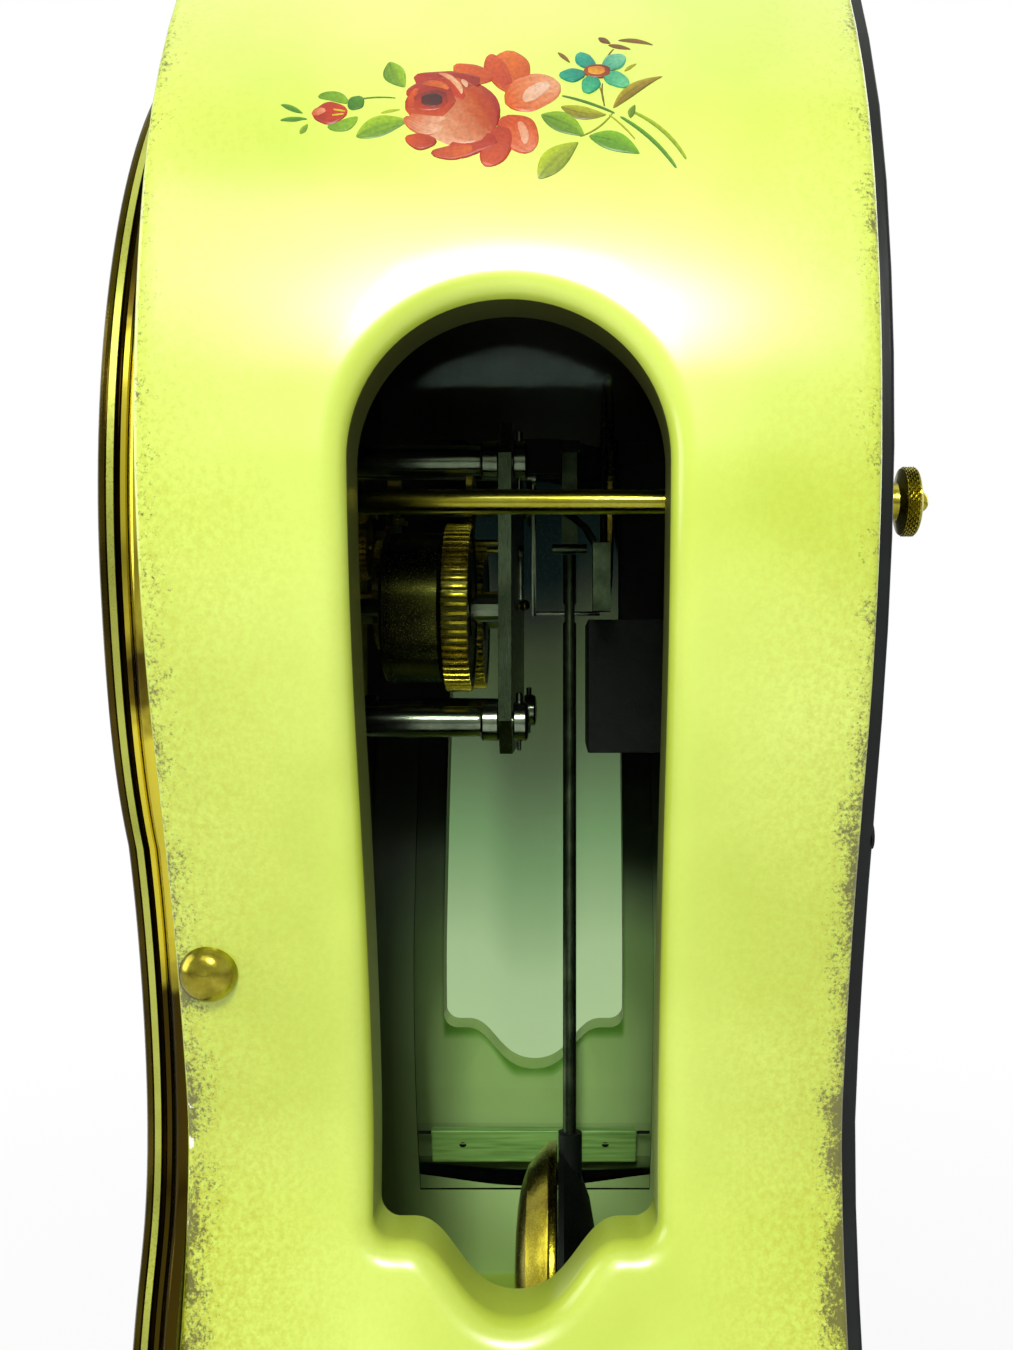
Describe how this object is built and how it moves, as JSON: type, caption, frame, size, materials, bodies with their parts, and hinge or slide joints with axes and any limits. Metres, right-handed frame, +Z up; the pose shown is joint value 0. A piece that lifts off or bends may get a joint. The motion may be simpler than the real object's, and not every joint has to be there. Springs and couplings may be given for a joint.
{
  "type": "pendulum clock",
  "caption": "Waisted lacquered bracket clock with brass door, glazed sides and an open spring-driven movement with pendulum and gong.",
  "frame": {"origin": "on the ground, under the middle of the object's box", "axes": "+Z up, -Y to the dial's side, +X to the right-hand side seen from the front"},
  "size_m": [0.2526, 0.1562, 0.455],
  "materials": {
    "lacquer": "cream painted lacquer on wood, glossy",
    "black_lacquer": "black lacquered wood",
    "glass": "clear",
    "batten_wood": "painted wood",
    "enamel": "white enamel",
    "steel": "turned and polished",
    "dark_steel": "oil-darkened",
    "iron": "black japanned",
    "brass": "polished"
  },
  "bodies": {
    "case": {"right_side_panel": "lacquer", "left_side_panel": "lacquer", "head_cap": "lacquer", "base_board": "lacquer", "front_board": "lacquer", "back_board": "black_lacquer", "finial": "brass", "right_window_glass": "glass", "left_window_glass": "glass", "right_glass_batten": "batten_wood", "left_glass_batten": "batten_wood", "tie_rod": "brass", "right_front_foot": "brass", "right_back_foot": "brass", "left_front_foot": "brass", "left_back_foot": "brass", "case_front_trim": "brass", "upper_hinge": "brass", "lower_hinge": "brass", "dial_plate": "enamel", "dial_bezel": "brass", "front_plate": "brass", "back_plate": "brass", "left_upper_pillar": "steel", "right_upper_pillar": "steel", "left_lower_pillar": "steel", "right_lower_pillar": "steel", "suspension_cock": "dark_steel", "gong": "brass", "gong_stand": "iron"},
    "door": {"door_frame": "brass", "door_catch": "steel", "door_glass": "glass"},
    "release_button": {"release_button": "brass"},
    "thumb_nut": {"thumb_nut": "brass"},
    "pendulum": {"suspension_spring": "dark_steel", "pendulum_rod": "dark_steel", "bob_front": "brass", "bob_back": "iron"},
    "rating_nut": {"rating_nut": "brass"},
    "anchor": {"anchor_pallets": "steel", "crutch": "steel"},
    "minute_arbor": {"centre_wheel": "brass", "minute_hand": "dark_steel"},
    "hour_pipe": {"hour_wheel": "brass", "hour_hand": "dark_steel"},
    "minute_wheel": {"minute_wheel": "brass"},
    "intermediate_wheel": {"intermediate_wheel": "brass"},
    "third_wheel": {"third_wheel": "brass"},
    "escape_wheel": {"escape_wheel": "brass"},
    "going_barrel": {"going_barrel": "brass"},
    "going_winding_arbor": {"going_winding_arbor": "dark_steel"},
    "strike_barrel": {"strike_barrel": "brass"},
    "strike_winding_arbor": {"strike_winding_arbor": "dark_steel"},
    "strike_wheel": {"strike_wheel": "brass"},
    "fly": {"fly": "brass"},
    "hammer": {"hammer": "brass"}
  },
  "joints": [
    {"name": "door_swing", "type": "hinge", "parent": "case", "child": "door", "pos_m": [-0.1209, -0.07425, 0.2], "axis": [0, 0, -1], "range_deg": [0, 105]},
    {"name": "button_press", "type": "slide", "parent": "case", "child": "release_button", "axis": [-1, 0, 0], "range_m": [0, 0.0025], "stiffness_N_per_m": 200},
    {"name": "thumb_nut_turn", "type": "hinge", "parent": "case", "child": "thumb_nut", "pos_m": [0.09, 0, 0.265], "axis": [0, 1, 0], "continuous": true},
    {"name": "pendulum_swing", "type": "hinge", "parent": "case", "child": "pendulum", "pos_m": [0, 0, 0.282], "axis": [0, 1, 0], "range_deg": [-5, 5]},
    {"name": "rating_nut_turn", "type": "hinge", "parent": "pendulum", "child": "rating_nut", "pos_m": [0, 0.00715, 0.035], "axis": [0, 0, 1], "continuous": true},
    {"name": "anchor_rock", "type": "hinge", "parent": "case", "child": "anchor", "pos_m": [0, 0, 0.282], "axis": [0, 1, 0], "range_deg": [-5, 5]},
    {"name": "minute_turn", "type": "hinge", "parent": "case", "child": "minute_arbor", "pos_m": [0, 0, 0.265], "axis": [0, 1, 0], "continuous": true},
    {"name": "hour_turn", "type": "hinge", "parent": "case", "child": "hour_pipe", "pos_m": [0, 0, 0.265], "axis": [0, 1, 0], "continuous": true},
    {"name": "minute_wheel_turn", "type": "hinge", "parent": "case", "child": "minute_wheel", "pos_m": [0, 0, 0.2542], "axis": [0, 1, 0], "continuous": true},
    {"name": "intermediate_turn", "type": "hinge", "parent": "case", "child": "intermediate_wheel", "pos_m": [0.00799, 0, 0.25085], "axis": [0, 1, 0], "continuous": true},
    {"name": "third_turn", "type": "hinge", "parent": "case", "child": "third_wheel", "pos_m": [0.01179, 0, 0.26277], "axis": [0, 1, 0], "continuous": true},
    {"name": "escape_turn", "type": "hinge", "parent": "case", "child": "escape_wheel", "pos_m": [0.0095, 0, 0.2725], "axis": [0, 1, 0], "continuous": true},
    {"name": "going_barrel_turn", "type": "hinge", "parent": "case", "child": "going_barrel", "pos_m": [0.03, 0, 0.2465], "axis": [0, 1, 0], "continuous": true},
    {"name": "going_winding", "type": "hinge", "parent": "case", "child": "going_winding_arbor", "pos_m": [0.03, 0, 0.2465], "axis": [0, 1, 0], "continuous": true},
    {"name": "strike_barrel_turn", "type": "hinge", "parent": "case", "child": "strike_barrel", "pos_m": [-0.03, 0, 0.2465], "axis": [0, 1, 0], "continuous": true},
    {"name": "strike_winding", "type": "hinge", "parent": "case", "child": "strike_winding_arbor", "pos_m": [-0.03, 0, 0.2465], "axis": [0, 1, 0], "continuous": true},
    {"name": "strike_wheel_turn", "type": "hinge", "parent": "case", "child": "strike_wheel", "pos_m": [-0.01649, 0, 0.26442], "axis": [0, 1, 0], "continuous": true},
    {"name": "fly_turn", "type": "hinge", "parent": "case", "child": "fly", "pos_m": [-0.01871, 0, 0.28026], "axis": [0, 1, 0], "continuous": true},
    {"name": "hammer_lift", "type": "hinge", "parent": "case", "child": "hammer", "pos_m": [0.024, 0, 0.273], "axis": [0, -1, 0], "range_deg": [0, 14]}
  ],
  "couplings": [
    {"joint": "anchor_rock", "follows": "pendulum_swing", "ratio": 1},
    {"joint": "hour_turn", "follows": "minute_turn", "ratio": 0.083333},
    {"joint": "minute_wheel_turn", "follows": "minute_turn", "ratio": -0.33333},
    {"joint": "intermediate_turn", "follows": "minute_turn", "ratio": -0.19048},
    {"joint": "third_turn", "follows": "minute_turn", "ratio": -5},
    {"joint": "escape_turn", "follows": "minute_turn", "ratio": 20},
    {"joint": "going_barrel_turn", "follows": "minute_turn", "ratio": 0.025397},
    {"joint": "strike_wheel_turn", "follows": "strike_barrel_turn", "ratio": -7.5},
    {"joint": "fly_turn", "follows": "strike_barrel_turn", "ratio": 30}
  ]
}
